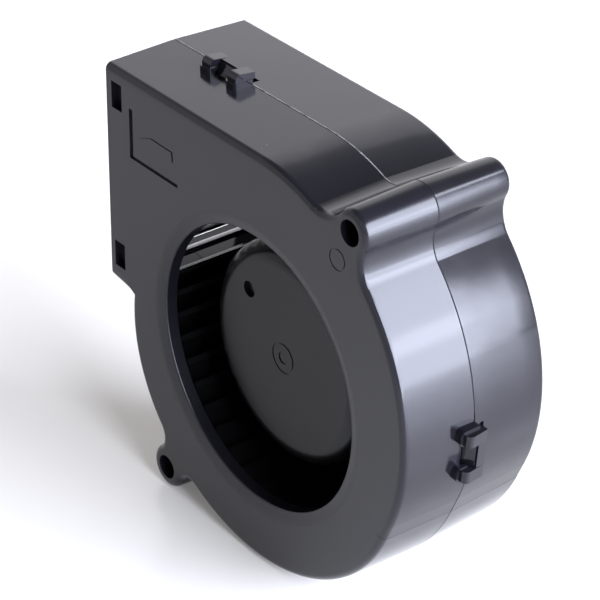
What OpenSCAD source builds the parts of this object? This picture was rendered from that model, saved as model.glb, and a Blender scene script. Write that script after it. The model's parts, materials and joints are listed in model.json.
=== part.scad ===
// DC blower fan: a snap-together scroll case, a forward-curved impeller and an
// outer-rotor brushless motor. Every node is drawn in its assembled place.
// Frame: +Z up, the inlet faces -Y, the outlet faces -X, and the origin is
// where the impeller axis crosses the plane of the inlet face.

/* [Case] */
// Depth from the inlet face to the rear face
case_depth = 30; // [30:0.5:34]
// Radius of the scroll at the parting line
scroll_r = 37.9; // [37.6:0.1:40]
// Step from the impeller axis to the centre of the upper right arc
arc_step = 3.5; // [3:0.1:4]
// Direction of the short flat between the two large arcs, in degrees
flat_a = -23.6; // [-28:0.1:-20]
// Radius of the tighter arc beside the outlet
lip_arc_r = 29.6; // [29:0.1:31]
// Direction in which the tighter arc runs into the scroll, in degrees
lip_arc_a = 223; // [219:1:226]
// Distance from the impeller axis to the outlet mouth
mouth_x = 41.1; // [40.6:0.1:46]
// Height of the lower edge of the mouth above the impeller axis
mouth_z = -1.3; // [-1.6:0.1:-0.8]
// Fall of the slanted wall below the mouth, in degrees
mouth_fall = 8; // [6:0.5:12]
// Thickness of the side walls at the plates
wall_t = 1.7; // [1.4:0.1:1.8]
// Thickness of the inlet plate
front_t = 1.8; // [1.5:0.1:2]
// Thickness of the rear plate
rear_t = 2; // [1.8:0.1:2.2]
// Depth of the parting line behind the inlet face
seam_y = 14.35; // [14:0.05:15]
// Inward draft of the front half from the parting line to its plate
draft = 0.3; // [0.1:0.05:0.4]
// Inward draft of the rear half's outside
rear_draft = 0.6; // [0.3:0.05:0.7]
// Radius of the front edge of the case
edge_r = 1.2; // [0.8:0.1:1.3]
// Radius of the rear edge of the case
rear_edge_r = 0.9; // [0.5:0.1:1]

/* [Inlet] */
// Radius of the straight part of the inlet
throat_r = 25.4; // [24.8:0.1:25.8]
// Radius at which the flare of the inlet starts on the face
flare_r = 28.4; // [27.8:0.1:28.8]
// Length of the straight part below the flare
throat_l = 2; // [1.9:0.1:2.4]

/* [Mounting] */
// Radius of the two mounting holes
hole_r = 2.25; // [2.1:0.05:2.3]
// Outer radius of the upper mounting boss
boss_r = 4.25; // [4.1:0.05:4.5]
// Distance of the upper mounting hole outside the scroll
boss_out = 3.4; // [3:0.1:3.8]
// Direction of the upper mounting hole from its arc's centre, in degrees
boss_a = 55.85; // [55:0.05:57]
// Fillet radius between the upper boss and the scroll
boss_fillet = 6; // [5:0.1:7]
// Outer radius of the lower mounting ear
ear_r = 4.4; // [4.2:0.05:4.5]
// Distance of the lower mounting hole outside the scroll
ear_out = 4.2; // [3.9:0.1:4.4]
// Fillet radius between the lower ear and the scroll
ear_fillet = 3; // [2.5:0.1:3.5]

/* [Latches] */
// Width over the two arms of a latch loop
loop_w = 9.4; // [9:0.1:10]
// Width of one arm
arm_w = 2.3; // [2:0.1:2.4]
// Height of the lugs that carry the arms
lug_h = 1.1; // [0.9:0.1:1.3]
// Thickness of the arms
arm_t = 1.35; // [1.1:0.05:1.5]
// Position of the top latch, to the left of the axis
latch_x = 23.9; // [22:0.1:26]
// Direction of the right latch, in degrees
latch_right_a = -5; // [-8:0.5:0]
// Direction of the left latch, in degrees
latch_left_a = 207; // [203:1:211]

/* [Impeller] */
// Number of blades
blade_count = 40; // [36:1:44]
// Inner radius of the blade ring
blade_in_r = 27.8; // [27.6:0.1:28.2]
// Outer radius of the blade ring
wheel_r = 32.4; // [32:0.1:32.6]
// Thickness of one blade
blade_t = 0.9; // [0.7:0.05:1]
// Curvature radius of a blade
blade_curve = 11.5; // [11:0.1:13]
// Forward lean of a blade at its inner end, in degrees
blade_lean = 36; // [32:1:38]
// Outer radius of the hub
hub_r = 20.3; // [20.2:0.1:20.8]
// Depth of the hub face behind the inlet face
hub_y = 6.4; // [6:0.1:6.6]
// Radius of the rounded hub shoulder
hub_round = 3.7; // [3:0.1:3.8]
// Gap between the wheel and the rear plate
wheel_gap = 1.4; // [1.2:0.1:1.6]

/* [Motor] */
// Radius of the shaft
shaft_r = 1.5; // [1.5:0.05:1.6]
// Outer radius of the ball bearings
bearing_r = 3.5; // [3.5:0.05:3.7]
// Width of the ball bearings
bearing_w = 3; // [2.8:0.1:3]
// Outer radius of the bearing tube
tube_r = 4.6; // [4.5:0.05:4.7]
// Outer radius of the steel yoke
yoke_r = 18.6; // [18.4:0.05:18.6]
// Wall thickness of the yoke
yoke_t = 1; // [0.8:0.1:1.1]
// Radial thickness of the magnet ring
magnet_t = 2.2; // [2:0.1:2.3]
// Air gap between the magnet and the poles
air_gap = 0.5; // [0.4:0.05:0.7]
// Height of the lamination stack
stack_h = 7; // [6.4:0.1:7.2]
// Width of one pole neck
neck_w = 4.2; // [3.8:0.1:4.4]
// Thickness of the circuit board
board_t = 1; // [0.8:0.1:1.2]

/* [Node] */
// Which node to draw

/* [Hidden] */
$fn = 96;
depth = case_depth;
seam_h = depth - seam_y;
wheel_h = rear_t + wheel_gap;
disc_t = 1.2;
hub_h = depth - hub_y;
// Arc centres of the outline, drawn as seen from the inlet
c_mid = [0, 0];
c_up = arc_step * dir(flat_a + 90);
c_lip = (scroll_r - lip_arc_r) * dir(lip_arc_a);
top_z = c_up.y + scroll_r;
// Slanted wall below the mouth: direction, outward normal and lower corner
d_lip = dir(-mouth_fall);
n_lip = dir(-mouth_fall - 90);
p_lip = [-mouth_x, mouth_z];
q_lip = p_lip - c_lip;
t_lip = -q_lip * d_lip - sqrt(pow(q_lip * d_lip, 2) - q_lip * q_lip
  + pow(lip_arc_r, 2));
corner = p_lip + t_lip * d_lip;
a_corner = atan2(corner.y - c_lip.y, corner.x - c_lip.x);
tongue_a = a_corner - 2.6;
// Half-joint: inner lap, its clearance and the small groove that marks it
lap_t = 0.75;
lap_h = 1;
lap_gap = 0.1;
groove = 0.12;
band = 6;
boss = c_up + (scroll_r + boss_out) * dir(boss_a);
// The ear's underside is level with the lowest point of the scroll
ear_z = ear_r - scroll_r;
ear = [-sqrt(pow(scroll_r + ear_out, 2) - pow(ear_z, 2)), ear_z];
// Fillets bite this far into what they join, so the surfaces cross cleanly
bite = 0.05;
// Where walls join, one is this much lower and runs this far into the other
step = 0.02;
over = 0.5;
fillet_n = 9;
// Latch heights over the wall and along the axis
arm_lo = lug_h - 0.2;
arm_hi = lug_h + arm_t;
arm_front = 3.3;
arm_rear = 0.75;
lug_l = 3.9;
bar_front = 0.9;
window = loop_w / 2 - arm_w;
catch_gap = 0.1;
notch_l = 2.4;
// Blind slots by the mouth: distance from it and height of each centre; size
slots = [[1.5, 35.6], [1.2, 4.5]];
slot_w = 3;
slot_l = 5;
slot_d = front_t - 0.6;
// Motor heights above the rear face
tube_lo = 0.8;
tube_hi = 19.2;
rear_b = 1.6;
front_b = tube_hi - 0.6 - bearing_w;
shoulder_r = 2.9;
hub_top_t = 2;
yoke_hi = hub_h - hub_top_t;
yoke_lo = 6;
magnet_r = yoke_r - yoke_t;
magnet_lo = 7;
magnet_hi = 19;
pole_r = magnet_r - magnet_t - air_gap;
stack_lo = 9.2;
stack_hi = stack_lo + stack_h;
sleeve = 0.5;
cap_t = 0.8;
coil_in = 7.5;
coil_out = pole_r - 2.4;
coil_t = 2.1;
board_r = 16.6;
board_lo = 4.4;
board_hi = board_lo + board_t;
bush_r = 3.6;
bush_lo = 19.9;
bush_hi = 22.6;
bush_wall = 1.6;
shaft_lo = 0.6;
race_t = 0.75;
ball_r = (bearing_r - shaft_r - 2 * race_t) / 2 + 0.25;
ball_n = 7;
pin_r = 0.25;
pin_lo = board_lo - 0.5;
pin_l = 2.6;
pitch_r = (bearing_r + shaft_r) / 2;
lead_a = 258;

// Unit vector at an angle
function dir(a) = [cos(a), sin(a)];
// Centre of a fillet of radius f between circle (c, r) and circle (b, s)
function fil(c, r, b, s, f, side) = let (
  v = b - c, d = norm(v), m = r + f - bite, n = s + f - bite,
  k = (d * d + m * m - n * n) / (2 * d * m))
  c + m * dir(atan2(v.y, v.x) + side * acos(k));
// Points of the rounded front edge of a wall whose outer face is at x
function edge(x) = [for (i = [0:5]) let (a = 90 - 18 * i)
  [x - edge_r + edge_r * cos(a), depth - edge_r + edge_r * sin(a)]];
// The same for the rear edge
function rear_edge(x) = [for (i = [0:4]) let (a = 22.5 * i)
  [x - rear_edge_r * (1 - sin(a)), rear_edge_r * (1 - cos(a))]];
// Point on circle (c, r) towards p
function on(c, r, p) = c + r * (p - c) / norm(p - c);

// Puts the drawing, which looks at the inlet, upright: its height becomes -Y
module stand() translate([0, depth, 0]) rotate([90, 0, 0]) children();

// Section of the front half's wall, with part of the plate, its levels e inside
module front_section(r, e) {
  o = r - draft;
  i = o - wall_t;
  s = seam_h + e;
  polygon(concat([[r - band, depth - e]],
    [for (p = edge(o)) [p.x, p.y - e]],
    [[r, s + groove], [r - groove, s],
    [i + lap_t, s], [i + lap_t, s - lap_h], [i, s - lap_h],
    [i, depth - front_t + e], [r - band, depth - front_t + e]]));
}

// Section of the rear half's wall, with part of the plate, its levels e inside
module rear_section(r, e) {
  i = r - draft - wall_t;
  j = i + lap_t + lap_gap;
  s = seam_h - e;
  polygon(concat([[r - band, e]],
    [for (p = rear_edge(r - rear_draft)) [p.x, p.y + e]],
    [[r, s - groove], [r - groove, s], [j, s],
    [j, s - lap_h - lap_gap], [i, s - lap_h - lap_gap],
    [i, rear_t - e], [r - band, rear_t - e]]));
}

module section(front, r, e) {
  if (front) front_section(r, e);
  else rear_section(r, e);
}

// Wall along an arc, and along a straight run that starts at c
module arc_wall(front, c, r, a0, a1) {
  translate([c.x, c.y, 0])
    rotate_extrude(start = a0, angle = a1 - a0) section(front, r, 0);
}

module run_wall(front, c, r, a, l, e) {
  translate([c.x, c.y, 0]) rotate([0, 0, a]) rotate([90, 0, 0])
    translate([0, 0, -l]) linear_extrude(l) section(front, r, e);
}

// The whole side wall of one half: three arcs, the short flat, the top and
// the slanted wall below the mouth
module side_wall(front) {
  k = 12;
  f = c_mid - over * dir(flat_a + 90);
  t = c_up + [over, 0];
  m = p_lip - 4 * d_lip - k * n_lip;
  difference() {
    union() {
      arc_wall(front, c_lip, lip_arc_r - step, tongue_a, lip_arc_a + 2);
      arc_wall(front, c_mid, scroll_r, lip_arc_a, 360 + flat_a);
      run_wall(front, f, scroll_r - step, flat_a, arc_step + 2 * over, step);
      arc_wall(front, c_up, scroll_r, flat_a, 90);
      run_wall(front, t, scroll_r - step, 90, mouth_x + 6, 0);
      run_wall(front, m, k, -mouth_fall - 90, t_lip + 4, step);
    }
    translate([-mouth_x - 20, -30, -1]) cube([20, 90, depth + 2]);
  }
}

// Flat plate of one half, just inside the wall band
module plate_shape() {
  g = 3;
  polygon(concat(
    [for (i = [0:6]) let (a = a_corner + i * (lip_arc_a - a_corner) / 6)
      c_lip + (lip_arc_r - g) * dir(a)],
    [for (i = [1:14]) let (a = lip_arc_a
      + i * (360 + flat_a - lip_arc_a) / 14) (scroll_r - g) * dir(a)],
    [for (i = [0:14]) let (a = flat_a + i * (90 - flat_a) / 14)
      c_up + (scroll_r - g) * dir(a)],
    [[-mouth_x, top_z - g], [-mouth_x, mouth_z + g]]));
}

// Round boss of one half
module boss_half(front, c, r) {
  translate([c.x, c.y, 0]) rotate_extrude() {
    if (front)
      polygon(concat([[0, depth]], edge(r - draft), [[r, seam_h + groove],
        [r - groove, seam_h], [0, seam_h]]));
    if (!front)
      polygon(concat([[0, 0]], rear_edge(r - rear_draft),
        [[r, seam_h - groove], [r - groove, seam_h], [0, seam_h]]));
  }
}

// Heights of one half with the distance its outer faces step in at each
function levels(front) = front
  ? concat([[seam_h, groove], [seam_h + groove, 0]],
    [for (i = [5:-1:0]) let (p = edge(0)[i]) [p.y, draft - p.x]])
  : concat([for (p = rear_edge(0)) [p.y, rear_draft - p.x]],
    [[seam_h - groove, 0], [seam_h, groove]]);
// Turn from angle a to angle b the short way round
function turn(a, b) = (b - a + 900) % 360 - 180;
// Points of a concave fillet of radius f round m, from towards p to towards q
function hollow(m, f, p, q) = let (
  a = atan2(p.y - m.y, p.x - m.x), b = atan2(q.y - m.y, q.x - m.x))
  [for (i = [0:fillet_n]) m + f * dir(a + turn(a, b) * i / fillet_n)];

// Web between the circle (c, r) and a boss (b, s), with a fillet each side
module web(front, c, r, b, s, f) {
  f1 = fil(c, r, b, s, f, -1);
  f2 = fil(c, r, b, s, f, 1);
  lv = levels(front);
  m = 2 * fillet_n + 3;
  points = [for (l = lv) each [for (p = concat(hollow(f1, f + l[1], c, b),
    hollow(f2, f + l[1], b, c), [on(c, r - l[1] - 1, b)])) [p.x, p.y, l[0]]]];
  sides = [for (k = [0:len(lv) - 2], i = [0:m - 1]) let (
    a = k * m + i, b = k * m + (i + 1) % m) each [[a, a + m, b + m],
      [a, b + m, b]]];
  bottom = [for (i = [0:m - 1]) (i + m - 1) % m];
  top = [for (i = [m - 1:-1:0]) (len(lv) - 1) * m + i];
  polyhedron(points, concat(sides, [bottom, top]));
}

// Boss b of radius s, joined to the circle (c, r)
module blended_boss(front, c, r, b, s, f) {
  boss_half(front, b, s);
  web(front, c, r, b, s, f);
}

// Beaded end of the tongue between the scroll and the outlet
module tongue_nose(lo, hi, gap) {
  t = (wall_t + draft) / 2;
  c = c_lip + (lip_arc_r - t) * dir(tongue_a);
  translate([c.x, c.y, lo]) cylinder(r = t + 0.15 + gap, h = hi - lo);
}

module boss_holes() {
  for (p = [boss, ear])
    translate([p.x, p.y, -1]) cylinder(r = hole_r, h = depth + 2);
}

// Places a latch: x runs along the wall, y points out of it
module on_wall(c, r, a) {
  translate([c.x, c.y, 0]) rotate([0, 0, a - 90]) translate([0, r, 0])
    children();
}

module at_latches() {
  on_wall([-latch_x, c_up.y], scroll_r, 90) children();
  on_wall(c_up, scroll_r, latch_right_a) children();
  on_wall(c_lip, lip_arc_r, latch_left_a) children();
}

// Outline drawn on the wall and raised from v0 to v1
module plan(v0, v1) {
  translate([0, v1, 0]) rotate([90, 0, 0]) linear_extrude(v1 - v0) children();
}

// Side profile drawn across the wall and run from u0 to u1
module profile(u0, u1) {
  translate([u0, 0, 0]) rotate([90, 0, 90]) linear_extrude(u1 - u0) children();
}

// Snap loop: two lugs, two arms and the closing bar
module latch_loop() {
  w = loop_w / 2;
  r = 0.9;
  for (s = [0, 1]) mirror([s, 0, 0]) {
    plan(-0.9, lug_h) {
      translate([window - 0.2, seam_h + step])
        square([arm_w + 0.6, lug_l - r - step]);
      translate([window - 0.2 + r, seam_h + step])
        square([arm_w + 0.6 - 2 * r, lug_l - step]);
      translate([window - 0.2 + r, seam_h + lug_l - r]) circle(r);
      translate([w + 0.4 - r, seam_h + lug_l - r]) circle(r);
    }
    profile(window, w) {
      polygon([[arm_lo, seam_h - arm_rear], [arm_hi - 0.35, seam_h - arm_rear],
        [arm_hi, seam_h + arm_front - 1], [arm_hi - 1, seam_h + arm_front],
        [arm_lo, seam_h + arm_front]]);
      translate([arm_hi - 1, seam_h + arm_front - 1]) circle(1);
    }
  }
  profile(-w, w) polygon([[arm_lo, seam_h - arm_rear],
    [arm_hi - 0.35, seam_h - arm_rear], [arm_hi - 0.27, seam_h + bar_front],
    [arm_lo, seam_h + bar_front]]);
}

// Gap in the front half's wall below the loop
module latch_notch() {
  profile(-window, window)
    translate([-4, seam_h - lap_h - 1]) square([4.4, lap_h + 1 + notch_l]);
}

// Tongue of the rear half with the wedge that the loop snaps over
module latch_tongue() {
  i = -draft - wall_t + 0.1;
  u = window - 0.3;
  b = seam_h + bar_front + catch_gap;
  profile(-u, u) polygon([[i, seam_h - 2], [i, seam_h + notch_l - 0.2],
    [0.1, seam_h + notch_l - 0.2], [arm_hi - 0.55, b + 0.2],
    [arm_hi - 0.55, b], [arm_lo - 0.2, b],
    [arm_lo - 0.2, seam_h - arm_rear], [-0.4, seam_h - 2]]);
}

// Clearance pockets beside the tongue
module latch_pockets() {
  for (s = [0, 1]) mirror([s, 0, 0]) profile(window + 0.1, window + 1.9)
    translate([-0.7, seam_h - 2]) square([2, 3]);
}

// Bellmouth ring: a shallow flare, a small edge round and the straight throat
module inlet_ring() {
  e = 0.45;
  big = 8;
  x1 = throat_r + 0.3;
  a = asin((flare_r - x1) / big);
  y1 = depth - big * (1 - cos(a));
  ex = x1 + e * sin(a);
  ey = y1 - e * cos(a);
  rotate_extrude() {
    intersection() {
      translate([flare_r, depth - big]) circle(big);
      translate([x1, depth - 2]) square([flare_r - x1, 3]);
    }
    translate([ex, ey]) circle(e);
    translate([ex - e, depth - throat_l - 0.8])
      square([flare_r - ex + e, throat_l + 0.8 - depth + ey]);
    translate([flare_r - 0.5, depth - front_t]) square([2.5, front_t]);
  }
}

// Shallow rectangular recess with a low raised pad in it, both left bare
module face_recess() {
  difference() {
    translate([-34.5, 25.45, depth - 0.35]) cube([13.8, 9.4, 1]);
    translate([0, 0, depth - 0.6]) linear_extrude(0.4)
      polygon([[-32, 29.45], [-32, 30.05], [-28.8, 31.35], [-22.7, 31.25],
        [-22.5, 29.45]]);
  }
}

module mouth_slots() {
  for (p = slots)
    translate([p.x - mouth_x, p.y - slot_l / 2, depth - slot_d])
      cube([slot_w, slot_l, slot_d + 1]);
}

// Round mould mark beside the upper boss, left bare
module mould_mark() {
  translate([21.7, 31.4, depth - 0.12]) difference() {
    cylinder(r = 1.95, h = 1);
    translate([0, 0, -1]) cylinder(r = 1.7, h = 3);
  }
}

module front_cover() color([0.12, 0.12, 0.13]) stand() difference() {
  union() {
    side_wall(true);
    translate([0, 0, depth - front_t]) linear_extrude(front_t)
      difference() {
        plate_shape();
        circle(flare_r + 0.6);
      }
    inlet_ring();
    blended_boss(true, c_up, scroll_r, boss, boss_r, boss_fillet);
    blended_boss(true, c_mid, scroll_r, ear, ear_r, ear_fillet);
    tongue_nose(seam_h, depth - front_t + 0.2, 0);
    at_latches() latch_loop();
  }
  tongue_nose(seam_h - lap_h - 1, seam_h, lap_gap);
  at_latches() latch_notch();
  boss_holes();
  mouth_slots();
  face_recess();
  mould_mark();
}

// Seat for the bearing tube, with four short ribs
module tube_seat() {
  cylinder(r = tube_r + 1.9, h = board_lo - 0.4);
  for (i = [0:3]) rotate([0, 0, 90 * i])
    translate([tube_r, -0.5, 1]) cube([6, 1, rear_t - 0.2]);
}

// Lead exit: a hole beside the motor and a channel to the edge of the case
module lead_path() {
  rotate([0, 0, lead_a]) {
    translate([14.6, -1.7, -1]) cube([3, 3.4, rear_t + 2]);
    translate([14.6, -1.7, -1]) cube([scroll_r - 12, 3.4, 2]);
  }
}

// Hooks that hold the leads down in the channel
module lead_hooks() {
  rotate([0, 0, lead_a]) for (s = [0, 1]) mirror([0, s, 0])
    translate([22 + 6 * s, 0.5, 0]) cube([2, 1.6, 0.5]);
}

module rear_case() color([0.10, 0.10, 0.12]) stand() difference() {
  union() {
    difference() {
      union() {
        side_wall(false);
        linear_extrude(rear_t) plate_shape();
        blended_boss(false, c_up, scroll_r, boss, boss_r, boss_fillet);
        blended_boss(false, c_mid, scroll_r, ear, ear_r, ear_fillet);
        tongue_nose(rear_t - 0.2, seam_h, 0);
        tube_seat();
      }
      at_latches() latch_pockets();
      lead_path();
      translate([0, 0, -1]) cylinder(r = 13.6, h = 1.3);
    }
    at_latches() latch_tongue();
    lead_hooks();
  }
  boss_holes();
  translate([0, 0, tube_lo]) cylinder(r = tube_r, h = depth);
  translate([0, 0, -1]) cylinder(r = tube_r - 0.7, h = depth);
}

module bearing_tube() color([0.75, 0.6, 0.3]) stand() difference() {
  translate([0, 0, tube_lo]) cylinder(r = tube_r, h = tube_hi - tube_lo);
  translate([0, 0, -1]) cylinder(r = shoulder_r, h = depth);
  translate([0, 0, -1]) cylinder(r = bearing_r, h = rear_b + bearing_w + 1);
  translate([0, 0, front_b]) cylinder(r = bearing_r, h = depth);
}

// Plan of the lamination: a ring, four necks and four pole shoes
module pole_shape(ring, neck, shoe_a) {
  difference() {
    union() {
      circle(tube_r + ring);
      for (i = [0:3]) rotate(90 * i + 45) {
        translate([tube_r + 0.5, -neck / 2])
          square([pole_r - tube_r - 1.6, neck]);
        intersection() {
          difference() {
            circle(pole_r);
            circle(pole_r - 1.5);
          }
          polygon([[0, 0], 30 * dir(-shoe_a), 30 * dir(shoe_a)]);
        }
      }
    }
    circle(tube_r);
  }
}

module stator_core() color([0.45, 0.46, 0.48]) stand()
  translate([0, 0, stack_lo]) linear_extrude(stack_h)
    pole_shape(2.4, neck_w, 38);

// Insulator: cap over the stack, neck sleeves, inner collar and outer flanges
module insulator(feet) {
  linear_extrude(cap_t) difference() {
    pole_shape(2.2, neck_w + 2 * sleeve, 34);
    circle(tube_r + 0.1);
  }
  linear_extrude(3) difference() {
    circle(coil_in - 0.3);
    circle(tube_r + 0.9);
  }
  for (i = [0:3]) rotate([0, 0, 90 * i + 45]) {
    for (s = [-1, 1])
      translate([tube_r + 2.4, s * (neck_w + sleeve) / 2 - sleeve / 2,
        -stack_h / 2 + 0.05])
        cube([coil_out - tube_r - 2.4, sleeve, stack_h / 2 + 0.2]);
    w = neck_w / 2 + sleeve + coil_t - 0.2;
    translate([coil_out + 0.1, -w, 0]) cube([0.8, 2 * w, feet]);
  }
}

module insulator_front() color([0.85, 0.83, 0.75]) stand()
  translate([0, 0, stack_hi]) insulator(2.8);

module insulator_rear() color([0.85, 0.83, 0.75]) stand() difference() {
  translate([0, 0, stack_lo]) mirror([0, 0, 1]) insulator(stack_lo - board_hi);
  at_pins() pin();
}

// Outline of a winding seen along its pole neck
module coil_shape(g) {
  w = neck_w / 2 + sleeve + g;
  h = stack_h / 2 + cap_t + g;
  square([2 * w - 2 * g, 2 * h], center = true);
  square([2 * w, 2 * h - 2 * g], center = true);
  for (x = [-1, 1], y = [-1, 1])
    translate([x * (w - g), y * (h - g)]) circle(g);
}

module coil(i) color([0.72, 0.38, 0.18]) stand()
  rotate([0, 0, 90 * i + 45])
    translate([coil_in, 0, (stack_lo + stack_hi) / 2])
      rotate([90, 0, 90]) linear_extrude(coil_out - coil_in) difference() {
        coil_shape(coil_t);
        coil_shape(0.05);
      }

module at_pins() {
  for (a = [45, 135, 225]) rotate([0, 0, a])
    translate([coil_out + 0.5, 0, 0]) children();
}

module pin() {
  translate([0, 0, pin_lo]) cylinder(r = pin_r, h = pin_l);
}

module coil_pins() color([0.8, 0.8, 0.78]) stand() at_pins() pin();

module circuit_board() color([0.05, 0.3, 0.15]) stand() difference() {
  translate([0, 0, board_lo]) cylinder(r = board_r, h = board_t);
  translate([0, 0, board_lo - 1]) cylinder(r = tube_r + 2.1, h = board_t + 2);
  at_pins() pin();
  rotate([0, 0, lead_a]) for (y = [-1.2, 1.2])
    translate([13.6, y, board_lo - 1]) cylinder(r = 0.45, h = 4);
}

// Chip with its legs, lying on the board
module chip(size, legs, pitch) {
  translate([-size.x / 2, -size.y / 2, 0.1]) cube([size.x, size.y, size.z]);
  for (i = [0:legs - 1]) translate([(i - (legs - 1) / 2) * pitch - 0.2,
    -size.y / 2 - 0.9, 0]) cube([0.4, size.y + 1.8, 0.2]);
}

// Part below the board, at radius r and angle a
module below(r, a) {
  rotate([0, 0, a]) translate([r, 0, board_lo]) mirror([0, 0, 1]) children();
}

module hall_sensor() color([0.1, 0.1, 0.1]) stand()
  translate([0, 15.6, board_hi]) chip([3, 1.2, 0.9], 3, 0.95);

module driver_ic() color([0.08, 0.08, 0.08]) stand()
  below(11.2, 20) chip([4.9, 3.9, 1.4], 4, 1.27);

module capacitor_1() color([0.7, 0.6, 0.45]) stand()
  below(12, 62) translate([-1, -0.7, 0]) cube([2, 1.4, 1]);

module capacitor_2() color([0.7, 0.6, 0.45]) stand()
  below(12, 118) translate([-1, -0.7, 0]) cube([2, 1.4, 1]);

module resistor() color([0.15, 0.15, 0.16]) stand()
  below(12, 155) translate([-0.8, -1, 0]) cube([1.6, 2, 0.6]);

module diode() color([0.2, 0.1, 0.05]) stand()
  below(12, 205) translate([-1.3, -0.8, 0]) cube([2.6, 1.6, 1]);

// Ball bearing parts: races, shields and balls, with the lower face at h
module race(h, r_out, r_in) {
  m = h + bearing_w / 2;
  difference() {
    translate([0, 0, h]) cylinder(r = r_out, h = bearing_w);
    translate([0, 0, h - 1]) cylinder(r = r_in, h = bearing_w + 2);
    translate([0, 0, m]) rotate_extrude()
      translate([pitch_r, 0]) circle(ball_r + 0.02);
  }
}

module shields(h) {
  for (z = [h + 0.05, h + bearing_w - 0.25]) translate([0, 0, z])
    difference() {
      cylinder(r = bearing_r - race_t, h = 0.2);
      translate([0, 0, -1]) cylinder(r = shaft_r + race_t + 0.1, h = 3);
    }
}

module balls(h) {
  for (i = [0:ball_n - 1]) rotate([0, 0, i * 360 / ball_n])
    translate([pitch_r, 0, h + bearing_w / 2]) sphere(ball_r);
}

// Ring that keeps the balls apart
module cage(h) {
  m = h + bearing_w / 2;
  difference() {
    translate([0, 0, m - 0.75]) cylinder(r = pitch_r + 0.2, h = 1.5);
    translate([0, 0, m - 1]) cylinder(r = pitch_r - 0.2, h = 2);
    for (i = [0:ball_n - 1]) rotate([0, 0, i * 360 / ball_n])
      translate([pitch_r - 0.5, 0, m]) rotate([0, 90, 0])
        cylinder(r = ball_r + 0.02, h = 1);
  }
}

module front_outer_race() color([0.75, 0.76, 0.78]) stand()
  race(front_b, bearing_r, bearing_r - race_t);

module rear_outer_race() color([0.75, 0.76, 0.78]) stand()
  race(rear_b, bearing_r, bearing_r - race_t);

module front_inner_race() color([0.75, 0.76, 0.78]) stand()
  race(front_b, shaft_r + race_t, shaft_r);

module rear_inner_race() color([0.75, 0.76, 0.78]) stand()
  race(rear_b, shaft_r + race_t, shaft_r);

module front_shields() color([0.7, 0.7, 0.72]) stand() shields(front_b);

module rear_shields() color([0.7, 0.7, 0.72]) stand() shields(rear_b);

module front_balls() color([0.85, 0.85, 0.87]) stand() balls(front_b);

module rear_balls() color([0.85, 0.85, 0.87]) stand() balls(rear_b);

module front_cage() color([0.6, 0.6, 0.6]) stand() cage(front_b);

module rear_cage() color([0.6, 0.6, 0.6]) stand() cage(rear_b);

// One forward-curved blade, as a slice of a thin tube
module blade_shape() {
  m = [blade_in_r, 0] + blade_curve * dir(90 + blade_lean);
  intersection() {
    difference() {
      circle(wheel_r - 0.2);
      circle(blade_in_r);
    }
    translate(m) difference() {
      circle(blade_curve + blade_t / 2);
      circle(blade_curve - blade_t / 2);
    }
    polygon([[0, 0], 2 * wheel_r * dir(-20), 3 * m]);
  }
}

module impeller() color([0.08, 0.08, 0.09]) stand() {
  ring_hi = depth - 4.2;
  blade_hi = depth - 4.4;
  difference() {
    rotate_extrude() {
      translate([0, wheel_h]) square([hub_r, hub_h - hub_round - wheel_h]);
      translate([0, hub_h - hub_round - 1])
        square([hub_r - hub_round, hub_round + 1]);
      translate([hub_r - hub_round, hub_h - hub_round]) intersection() {
        circle(hub_round);
        square(hub_round);
      }
      translate([hub_r - 0.5, wheel_h])
        square([wheel_r - hub_r + 0.5, disc_t]);
    }
    translate([0, 0, wheel_h - 1]) cylinder(r = yoke_r, h = yoke_hi - wheel_h + 1);
    translate([13 * cos(136), 13 * sin(136), hub_h - 0.8])
      cylinder(r = 1.5, h = 2);
    translate([0, 0, hub_h - 0.15]) cylinder(r = 1.15, h = 1);
    translate([0, 0, hub_h - 0.12]) difference() {
      cylinder(r = 2.9, h = 1);
      translate([0, 0, -1]) cylinder(r = 2.55, h = 3);
    }
    translate([0, 0, yoke_hi - 1]) cylinder(r = bush_r, h = bush_hi - yoke_hi + 1);
  }
  translate([0, 0, bush_lo + 0.3]) difference() {
    cylinder(r = bush_r + bush_wall, h = yoke_hi - bush_lo);
    translate([0, 0, -1]) cylinder(r = bush_r, h = 5);
  }
  translate([0, 0, ring_hi - 1.2]) difference() {
    cylinder(r = wheel_r, h = 1.2);
    translate([0, 0, -1]) cylinder(r = wheel_r - 2.6, h = 3);
  }
  for (i = [0:blade_count - 1]) rotate([0, 0, i * 360 / blade_count])
    translate([0, 0, wheel_h + disc_t - 0.1])
      linear_extrude(blade_hi - wheel_h - disc_t + 0.1) blade_shape();
}

module yoke() color([0.6, 0.61, 0.63]) stand() difference() {
  translate([0, 0, yoke_lo]) cylinder(r = yoke_r, h = yoke_hi - yoke_lo);
  translate([0, 0, yoke_lo - 1])
    cylinder(r = magnet_r, h = yoke_hi - yoke_lo - yoke_t + 1);
  cylinder(r = bush_r + bush_wall, h = depth);
}

module magnet() color([0.2, 0.2, 0.21]) stand() difference() {
  translate([0, 0, magnet_lo]) cylinder(r = magnet_r, h = magnet_hi - magnet_lo);
  cylinder(r = magnet_r - magnet_t, h = depth);
}

module hub_bush() color([0.75, 0.6, 0.3]) stand() difference() {
  translate([0, 0, bush_lo]) cylinder(r = bush_r, h = bush_hi - bush_lo);
  translate([0, 0, bush_lo - 1]) cylinder(r = shaft_r, h = bush_hi - bush_lo + 0.4);
}

module shaft() color([0.8, 0.8, 0.82]) stand() difference() {
  union() {
    translate([0, 0, shaft_lo + 0.3])
      cylinder(r = shaft_r, h = bush_hi - 0.6 - shaft_lo - 0.3);
    translate([0, 0, shaft_lo])
      cylinder(r1 = shaft_r - 0.3, r2 = shaft_r, h = 0.3);
  }
  translate([0, 0, rear_b - 0.45]) difference() {
    cylinder(r = shaft_r + 1, h = 0.4);
    translate([0, 0, -1]) cylinder(r = shaft_r - 0.35, h = 3);
  }
}

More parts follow.
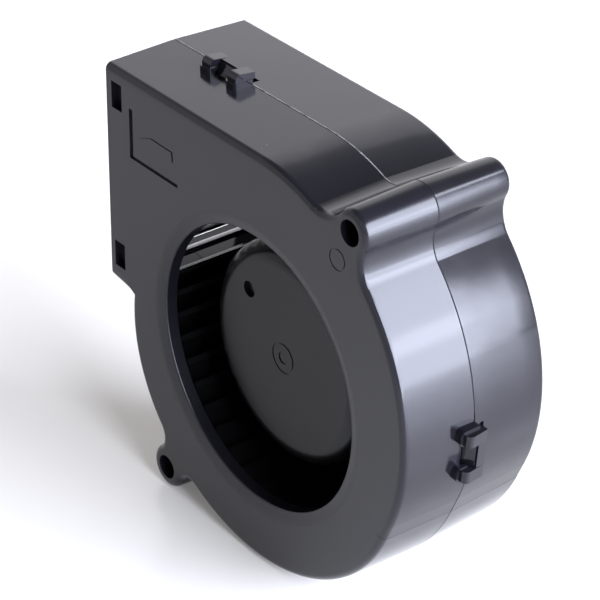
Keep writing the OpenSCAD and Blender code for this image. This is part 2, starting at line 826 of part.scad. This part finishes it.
// Split ring in the shaft groove
module lock_ring() color([0.3, 0.3, 0.32]) stand()
  translate([0, 0, rear_b - 0.45]) difference() {
    cylinder(r = 2.15, h = 0.4);
    translate([0, 0, -1]) cylinder(r = shaft_r - 0.35, h = 3);
    translate([0, -0.7, -1]) cube([4, 1.4, 3]);
  }

// Dished washer between the front bearing and the hub bush
module preload_washer() color([0.8, 0.8, 0.82]) stand() {
  z = front_b + bearing_w;
  rotate_extrude() polygon([[shaft_r + 0.02, z], [shaft_r + 0.5, z],
    [bush_r - 0.4, bush_lo - 0.3], [bush_r - 0.4, bush_lo],
    [bush_r - 0.8, bush_lo], [shaft_r + 0.02, z + 0.35]]);
}

front_cover();
rear_case();
bearing_tube();
stator_core();
insulator_front();
insulator_rear();
coil(0);  // coil_1
coil(1);  // coil_2
coil(2);  // coil_3
coil(3);  // coil_4
coil_pins();
circuit_board();
hall_sensor();
driver_ic();
capacitor_1();
capacitor_2();
resistor();
diode();
front_outer_race();
rear_outer_race();
front_shields();
rear_shields();
impeller();
yoke();
magnet();
hub_bush();
shaft();
preload_washer();
lock_ring();
front_inner_race();
rear_inner_race();
front_balls();
rear_balls();
front_cage();
rear_cage();
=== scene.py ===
# DC blower fan: materials, floor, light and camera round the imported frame.
import json
import math
import bpy
from mathutils import Matrix, Vector


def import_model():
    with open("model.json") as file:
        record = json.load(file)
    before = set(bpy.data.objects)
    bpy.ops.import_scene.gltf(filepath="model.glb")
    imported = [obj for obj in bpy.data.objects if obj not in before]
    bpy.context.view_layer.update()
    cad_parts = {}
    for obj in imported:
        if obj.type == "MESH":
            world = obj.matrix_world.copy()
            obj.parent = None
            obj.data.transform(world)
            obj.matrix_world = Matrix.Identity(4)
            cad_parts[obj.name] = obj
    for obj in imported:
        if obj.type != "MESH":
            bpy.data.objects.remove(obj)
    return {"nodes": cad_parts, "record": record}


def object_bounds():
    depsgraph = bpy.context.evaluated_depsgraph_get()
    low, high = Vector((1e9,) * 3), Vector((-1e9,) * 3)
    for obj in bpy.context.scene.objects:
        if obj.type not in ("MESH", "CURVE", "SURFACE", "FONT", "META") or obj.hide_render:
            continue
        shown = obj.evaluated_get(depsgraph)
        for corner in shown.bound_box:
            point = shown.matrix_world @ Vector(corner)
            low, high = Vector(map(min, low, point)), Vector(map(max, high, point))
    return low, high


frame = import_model()
cad_lo, cad_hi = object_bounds()

# Lengths are in metres and angles in degrees, unless a comment says mm.
# The middle of the fan's depth on its axis, which the lamps look at
FAN_MIDDLE = Vector((0, 0.015, 0))

# The less polished zones of the case: the axis of the inlet and of the upper
# boss, each as X and Z, and how far a zone reaches from it
INLET, INLET_ZONE = (0, 0), 0.0281
BOSS, BOSS_ZONE = (0.024585, 0.037386), 0.0055

# The painted highlight on the top, a pale line 0.2 mm behind the parting line:
# its Y and half its width, the middle and half the height of the band of Z it
# is drawn in, and the X where it ends short of the boss
LINE_Y, LINE_HALF = 0.01455, 0.00012
BAND_Z, BAND_HALF = 0.0376, 0.0037
LINE_END_X = 0.0185

# Smooth shading: the sharpest edge that is still smoothed, the distance at
# which points of neighbouring CAD faces are welded, and the modifier's weight
SMOOTH_BELOW = 32
WELD = 2.5e-5
NORMAL_WEIGHT = 60

# The case's colour and IOR, the colour and roughness of dust specks, and those
# of the painted highlight along the parting line
CASE_BLACK, CASE_IOR = (0.006, 0.0057, 0.0085), 1.42
DUST_TONE, DUST_ROUGH = (0.22, 0.22, 0.23), 0.75
SEAM_HIGHLIGHT_TONE, SEAM_HIGHLIGHT_ROUGH = (0.20, 0.20, 0.21), 0.5

# The floor: half its width, its gap below the part, and the strength of the
# white that is added where it is seen
FLOOR_HALF = 3.0
FLOOR_GAP = 0.00002
FLOOR_LIFT = 0.13

# The world: its fill, and the elevations between which the white backdrop
# fades to the strength of the ceiling
FILL_TINT, FILL = (1.0, 0.94, 0.87), 0.24
FADE_FROM, FADE_TO, CEILING = 34, 50, 0.3

WINDOW_TINT = (0.82, 0.87, 1)
BACKDROP_TINT = (0.92, 0.91, 1)

# The camera: its direction from its target, its distance, and its lens and
# sensor in mm
CAMERA_AZ, CAMERA_EL, CAMERA_ROLL = -38.33, 31.07, 0.61
CAMERA_TARGET = Vector((-0.00642, 0.015, 0.00516))
CAMERA_DISTANCE = 0.4446
CAMERA_LENS, CAMERA_SENSOR = 156.87, 36


def grey(v):
    return (v, v, v)


def towards(az, el):
    """Direction at an azimuth from +X towards +Y and an elevation."""
    a, e = math.radians(az), math.radians(el)
    return Vector((math.cos(a) * math.cos(e), math.sin(a) * math.cos(e),
                   math.sin(e)))


# ---------------------------------------------------------------- node trees
class Tree:
    """Adds shader nodes to a material or a world and links them."""

    def __init__(self, owner, output):
        self.owner = owner
        owner.use_nodes = True
        self.tree = owner.node_tree
        self.tree.nodes.clear()
        self.out = self.add(output)

    def add(self, kind, **values):
        """A new node, with its properties and its input sockets set."""
        n = self.tree.nodes.new(kind)
        for key, value in values.items():
            if key in n.inputs:
                self.put(n, key, value)
            else:
                setattr(n, key, value)
        return n

    def put(self, node, key, value):
        """Links a socket to an input, or sets the input's own value."""
        socket = node.inputs[key]
        if isinstance(value, bpy.types.NodeSocket):
            self.tree.links.new(value, socket)
        elif socket.type == "RGBA":
            socket.default_value = (*value, 1)
        else:
            socket.default_value = value

    def coordinates(self):
        return self.add("ShaderNodeTexCoord").outputs["Object"]

    def ramp(self, fac, low, high):
        """A ramp between two stops, each a position and a colour."""
        n = self.add("ShaderNodeValToRGB", Fac=fac)
        for stop, (place, colour) in zip(n.color_ramp.elements, (low, high)):
            stop.position = place
            stop.color = (*colour, 1)
        return n.outputs["Color"]

    def noise(self, at, scale, detail=3, rough=0.55, stretch=None):
        if stretch:
            at = self.add("ShaderNodeMapping", Vector=at,
                          Scale=stretch).outputs["Vector"]
        return self.add("ShaderNodeTexNoise", Scale=scale, Detail=detail,
                        Roughness=rough, Vector=at).outputs["Fac"]

    def bump(self, height, distance, strength=1.0, **values):
        return self.add("ShaderNodeBump", Height=height, Distance=distance,
                        Strength=strength, **values).outputs["Normal"]

    def math(self, operation, *values):
        n = self.add("ShaderNodeMath", operation=operation)
        for i, value in enumerate(values):
            self.put(n, i, value)
        return n.outputs[0]

    def mix(self, fac, a, b):
        """A mix of two colours."""
        n = self.add("ShaderNodeMix", data_type="RGBA")
        for i, value in ((0, fac), (6, a), (7, b)):
            self.put(n, i, value)
        return n.outputs[2]

    def show_background(self, lit, shown):
        """Shows one shader to camera, glossy and transmission rays, and lets
        the other light the scene."""
        path = self.add("ShaderNodeLightPath").outputs
        through = self.math("MAXIMUM", path["Is Glossy Ray"],
                            path["Is Transmission Ray"])
        pick = self.add("ShaderNodeMixShader")
        self.put(pick, 0, self.math("MAXIMUM", path["Is Camera Ray"], through))
        self.put(pick, 1, lit.outputs[0])
        self.put(pick, 2, shown.outputs[0])
        self.put(self.out, "Surface", pick.outputs[0])


def material(name):
    return Tree(bpy.data.materials.new(name), "ShaderNodeOutputMaterial")


# ---------------------------------------------------------------- materials
def zone_mask(t, at, middle, radius, blur):
    """A mask of 1 inside a cylinder along Y and 0 outside it."""
    flat = t.add("ShaderNodeVectorMath", operation="MULTIPLY")
    t.put(flat, 0, at)
    t.put(flat, 1, (1, 0, 1))
    away = t.add("ShaderNodeVectorMath", operation="DISTANCE")
    t.put(away, 0, flat.outputs["Vector"])
    t.put(away, 1, (middle[0], 0, middle[1]))
    edge = t.add("ShaderNodeMapRange", Value=away.outputs["Value"])
    t.put(edge, "From Min", radius + blur)
    t.put(edge, "From Max", radius - blur)
    return edge.outputs["Result"]


def seam_highlight_mask(t, at):
    """A mask of the thin painted highlight beside the parting line on the top."""
    part = t.add("ShaderNodeSeparateXYZ", Vector=at).outputs
    line = t.math("COMPARE", part["Y"], LINE_Y, LINE_HALF)
    band = t.math("COMPARE", part["Z"], BAND_Z, BAND_HALF)
    left = t.math("LESS_THAN", part["X"], LINE_END_X)
    highlight_breakup = t.ramp(t.noise(at, scale=700, detail=2),
                  (0.35, grey(0.15)), (0.6, grey(1)))
    return t.math("MULTIPLY", t.math("MULTIPLY", line, left),
                  t.math("MULTIPLY", band, highlight_breakup))


def dust_mask(t, at):
    """A mask of small specks that come in a few patches."""
    cells = t.add("ShaderNodeTexVoronoi", Scale=330.0, Vector=at)
    dot = t.ramp(cells.outputs["Distance"], (0.0, grey(1)), (0.045, grey(0)))
    patch = t.ramp(t.noise(at, scale=140, detail=2),
                   (0.60, grey(0)), (0.66, grey(1)))
    return t.math("MULTIPLY", dot, patch)


def plastic(name, colour, rough, grain=0.05, ior=1.5, sink=0.0, dull=(),
            dust=False, seam_highlight=False):
    """Moulded plastic: a fine spark-eroded grain, slow changes of colour and
    fine ones of gloss. With sink, the wall has the slight waviness of a
    moulded one, that deep; with dust, a few pale specks. The last flag
    paints a highlight: a pale line beside the parting line on the top. Each
    entry of dull is the axis, radius, blur and roughness of a zone along Y
    that is less polished than the rest."""
    t = material(name)
    at = t.coordinates()
    slow = t.noise(at, scale=60, detail=4)
    fine = t.noise(at, scale=5200, detail=2, rough=0.6)
    mottle = t.noise(at, scale=900, rough=0.6)
    base = t.ramp(slow, (0.3, tuple(c * 0.86 for c in colour)),
                  (0.7, tuple(c * 1.16 for c in colour)))
    gloss = t.ramp(mottle, (0.3, grey(rough * 0.96)),
                   (0.72, grey(rough * 1.05)))
    for middle, radius, blur, value in dull:
        gloss = t.mix(zone_mask(t, at, middle, radius, blur), gloss,
                      grey(value))
    if dust:
        mask = dust_mask(t, at)
        base = t.mix(mask, base, DUST_TONE)
        gloss = t.mix(mask, gloss, grey(DUST_ROUGH))
    # Painted highlight: a pale, rougher line along the parting line on the top.
    if seam_highlight:
        mask = seam_highlight_mask(t, at)
        base = t.mix(mask, base, SEAM_HIGHLIGHT_TONE)
        gloss = t.mix(mask, gloss, grey(SEAM_HIGHLIGHT_ROUGH))
    wall = {}
    if sink:
        wave = t.noise(at, scale=95, rough=0.45, stretch=(1, 0.45, 1))
        wall["Normal"] = t.bump(wave, distance=sink)
    b = t.add("ShaderNodeBsdfPrincipled", Roughness=gloss, IOR=ior,
              Normal=t.bump(fine, distance=0.00006, strength=grain, **wall))
    t.put(b, "Base Color", base)
    t.put(b, "Specular Tint", (0.94, 0.94, 1.0))
    t.put(t.out, "Surface", b.outputs["BSDF"])
    return t.owner


def metal(name, colour, rough, lines=(1, 1, 1)):
    """Metal with fine machining lines or grain, and a little stain."""
    t = material(name)
    at = t.coordinates()
    stain = t.noise(at, scale=160, detail=4)
    grain = t.noise(at, scale=900, rough=0.6, stretch=lines)
    b = t.add("ShaderNodeBsdfPrincipled", Metallic=1.0,
              Roughness=t.ramp(grain, (0.3, grey(rough * 0.75)),
                               (0.7, grey(rough * 1.3))),
              Normal=t.bump(grain, distance=0.00004, strength=0.12))
    t.put(b, "Base Color",
          t.ramp(stain, (0.3, tuple(c * 0.82 for c in colour)), (0.7, colour)))
    t.put(t.out, "Surface", b.outputs["BSDF"])
    return t.owner


# Both case halves get the painted highlight along the parting line.
COVER = plastic("cover_black_looks", CASE_BLACK, 0.14, grain=0.02,
                ior=CASE_IOR, sink=0.00003, dust=True, seam_highlight=True,
                dull=[(INLET, INLET_ZONE, 0.0003, 0.28),
                      (BOSS, BOSS_ZONE, 0.0012, 0.21)])
# The looks of each material slot of the record; front_cover alone has COVER
LOOKS = {
    "case_black": plastic("case_black_looks", CASE_BLACK, 0.11, grain=0.02,
                          ior=CASE_IOR, sink=0.00004, dust=True, seam_highlight=True,
                          dull=[(BOSS, BOSS_ZONE, 0.0012, 0.18)]),
    "wheel_black": plastic("wheel_black_looks", (0.004, 0.004, 0.0045), 0.25,
                           grain=0.03, ior=1.31, dust=True),
    "brass": metal("brass_looks", (0.76, 0.56, 0.26), 0.3, (1, 9, 1)),
    "core_steel": metal("core_steel_looks", (0.36, 0.36, 0.37), 0.45,
                        (1, 14, 1)),
    "insulator": plastic("insulator_looks", (0.72, 0.69, 0.60), 0.5),
    "copper": metal("copper_looks", (0.72, 0.30, 0.12), 0.35, (3, 3, 3)),
    "tin": metal("tin_looks", (0.72, 0.72, 0.70), 0.35),
    "board_green": plastic("board_looks", (0.02, 0.16, 0.07), 0.35),
    "chip_black": plastic("chip_looks", (0.025, 0.025, 0.027), 0.5),
    "ceramic_tan": plastic("ceramic_looks", (0.42, 0.30, 0.18), 0.5),
    "bearing_steel": metal("bearing_steel_looks", (0.66, 0.66, 0.68), 0.22,
                           (1, 8, 1)),
    "spring_steel": metal("spring_steel_looks", (0.52, 0.52, 0.54), 0.3),
    "yoke_steel": metal("yoke_steel_looks", (0.50, 0.50, 0.51), 0.34,
                        (1, 5, 1)),
    "magnet_grey": plastic("magnet_looks", (0.07, 0.07, 0.075), 0.6),
}


# ------------------------------------------------------------ smooth shading
def smoother():
    """Geometry nodes: weld the CAD faces, then shade smooth but for edges
    sharper than a given angle."""
    group = bpy.data.node_groups.new("smooth_edges", "GeometryNodeTree")
    for name, side, kind in (("Geometry", "INPUT", "NodeSocketGeometry"),
                             ("Angle", "INPUT", "NodeSocketFloat"),
                             ("Geometry", "OUTPUT", "NodeSocketGeometry")):
        group.interface.new_socket(name, in_out=side, socket_type=kind)
    new, link = group.nodes.new, group.links.new
    given, result = new("NodeGroupInput"), new("NodeGroupOutput")
    drop = new("GeometryNodeRemoveAttribute")
    drop.inputs["Name"].default_value = "custom_normal"
    weld = new("GeometryNodeMergeByDistance")
    weld.inputs["Distance"].default_value = WELD
    edge = new("GeometryNodeInputMeshEdgeAngle")
    more = new("FunctionNodeCompare")
    more.data_type, more.operation = "FLOAT", "GREATER_THAN"
    keep = new("GeometryNodeStoreNamedAttribute")
    keep.data_type, keep.domain = "BOOLEAN", "EDGE"
    keep.inputs["Name"].default_value = "sharp_edge"
    smooth = new("GeometryNodeSetShadeSmooth")
    link(given.outputs["Geometry"], drop.inputs["Geometry"])
    link(drop.outputs[0], weld.inputs["Geometry"])
    link(weld.outputs[0], smooth.inputs["Geometry"])
    link(smooth.outputs[0], keep.inputs["Geometry"])
    link(edge.outputs["Unsigned Angle"], more.inputs[0])
    link(given.outputs["Angle"], more.inputs[1])
    link(more.outputs[0], keep.inputs["Value"])
    link(keep.outputs[0], result.inputs[0])
    return group


def dress():
    """Gives each CAD node its smooth shading and its material."""
    group = smoother()
    angle = [x.identifier for x in group.interface.items_tree
             if x.name == "Angle"][0]
    slot_of = {s["node"]: s["material_slot"]
               for s in frame["record"].get("subparts", [])}
    for name, obj in frame["nodes"].items():
        smooth = obj.modifiers.new("smooth_edges", "NODES")
        smooth.node_group = group
        smooth[angle] = math.radians(SMOOTH_BELOW)
        weighted = obj.modifiers.new("weighted", "WEIGHTED_NORMAL")
        weighted.mode = "FACE_AREA_WITH_ANGLE"
        weighted.keep_sharp = True
        weighted.weight = NORMAL_WEIGHT
        look = COVER if name == "front_cover" else LOOKS[slot_of[name]]
        obj.data.materials.clear()
        obj.data.materials.append(look)


# ------------------------------------------------------------- floor, world
def floor():
    """A plain pale floor under the part. Camera, gloss and glass see it
    lifted a little towards white, and it keeps the part's shadow."""
    t = material("floor_looks")
    tone = t.ramp(t.noise(t.coordinates(), scale=3),
                  (0.3, (0.72, 0.70, 0.675)), (0.7, (0.74, 0.72, 0.695)))
    lit = t.add("ShaderNodeBsdfPrincipled", Roughness=0.22, IOR=1.45)
    t.put(lit, "Base Color", tone)
    lift = t.add("ShaderNodeEmission", Color=grey(1), Strength=FLOOR_LIFT)
    both = t.add("ShaderNodeAddShader")
    t.put(both, 0, lit.outputs[0])
    t.put(both, 1, lift.outputs[0])
    t.show_background(lit, both)
    mesh = bpy.data.meshes.new("floor")
    r = FLOOR_HALF
    mesh.from_pydata([(-r, -r, 0), (r, -r, 0), (r, r, 0), (-r, r, 0)], [],
                     [(0, 1, 2, 3)])
    mesh.materials.append(t.owner)
    o = bpy.data.objects.new("floor", mesh)
    o.location = (0, 0, cad_lo.z - FLOOR_GAP)
    bpy.context.scene.collection.objects.link(o)


def world():
    """A soft fill for the light, and the white studio backdrop that the
    camera, gloss and glass see; it fades to a dim ceiling overhead."""
    t = Tree(bpy.data.worlds.new("studio"), "ShaderNodeOutputWorld")
    bpy.context.scene.world = t.owner
    soft = t.add("ShaderNodeBackground", Color=FILL_TINT, Strength=FILL)
    way = t.add("ShaderNodeTexCoord").outputs["Generated"]
    height = t.add("ShaderNodeSeparateXYZ", Vector=way).outputs["Z"]
    fade = t.add("ShaderNodeMapRange", Value=height)
    for key, value in (("From Min", math.sin(math.radians(FADE_FROM))),
                       ("From Max", math.sin(math.radians(FADE_TO))),
                       ("To Min", 1.0), ("To Max", CEILING)):
        t.put(fade, key, value)
    white = t.add("ShaderNodeBackground", Color=grey(1),
                  Strength=fade.outputs["Result"])
    t.show_background(soft, white)


# ------------------------------------------------------------ lamps, camera
def lamp(name, az, el, distance, width, height, level, colour):
    """A soft box that looks at the middle of the fan. Its level, times its
    colour, is what a mirror would show of it, where 1 is white."""
    d = bpy.data.lights.new(name, "AREA")
    d.shape = "RECTANGLE"
    d.size, d.size_y = width, height
    d.energy = level * math.pi * width * height
    d.color = colour
    o = bpy.data.objects.new(name, d)
    back, up = towards(az, el), towards(az, el + 90)
    turn = Matrix((up.cross(back), up, back)).transposed().to_4x4()
    o.matrix_world = Matrix.Translation(FAN_MIDDLE + back * distance) @ turn
    o.visible_camera = False
    bpy.context.scene.collection.objects.link(o)


def camera():
    """Raised view of the inlet, the top and the right side."""
    back = towards(CAMERA_AZ, CAMERA_EL)
    place = Matrix.Translation(CAMERA_TARGET + back * CAMERA_DISTANCE)
    turn = (-back).to_track_quat("-Z", "Y").to_matrix().to_4x4()
    roll = Matrix.Rotation(math.radians(CAMERA_ROLL), 4, "Z")
    d = bpy.data.cameras.new("camera")
    d.sensor_width = CAMERA_SENSOR
    d.lens = CAMERA_LENS
    d.clip_start, d.clip_end = 0.01, 20
    o = bpy.data.objects.new("camera", d)
    o.rotation_mode = "QUATERNION"
    o.matrix_world = place @ turn @ roll
    bpy.context.scene.collection.objects.link(o)
    bpy.context.scene.camera = o


dress()
floor()
world()
lamp("window", az=13.2, el=21, distance=1.0, width=1.06, height=0.86,
     level=20.8, colour=WINDOW_TINT)
lamp("window_band", az=19, el=16, distance=1.0, width=0.74, height=0.15,
     level=6.5, colour=WINDOW_TINT)
lamp("window_top", az=54, el=39.2, distance=1.0, width=0.16, height=0.11,
     level=21, colour=WINDOW_TINT)
lamp("backdrop", az=140, el=20, distance=1.2, width=2.2, height=1.0,
     level=0.75, colour=BACKDROP_TINT)
camera()
bpy.context.scene.view_settings.view_transform = "Standard"
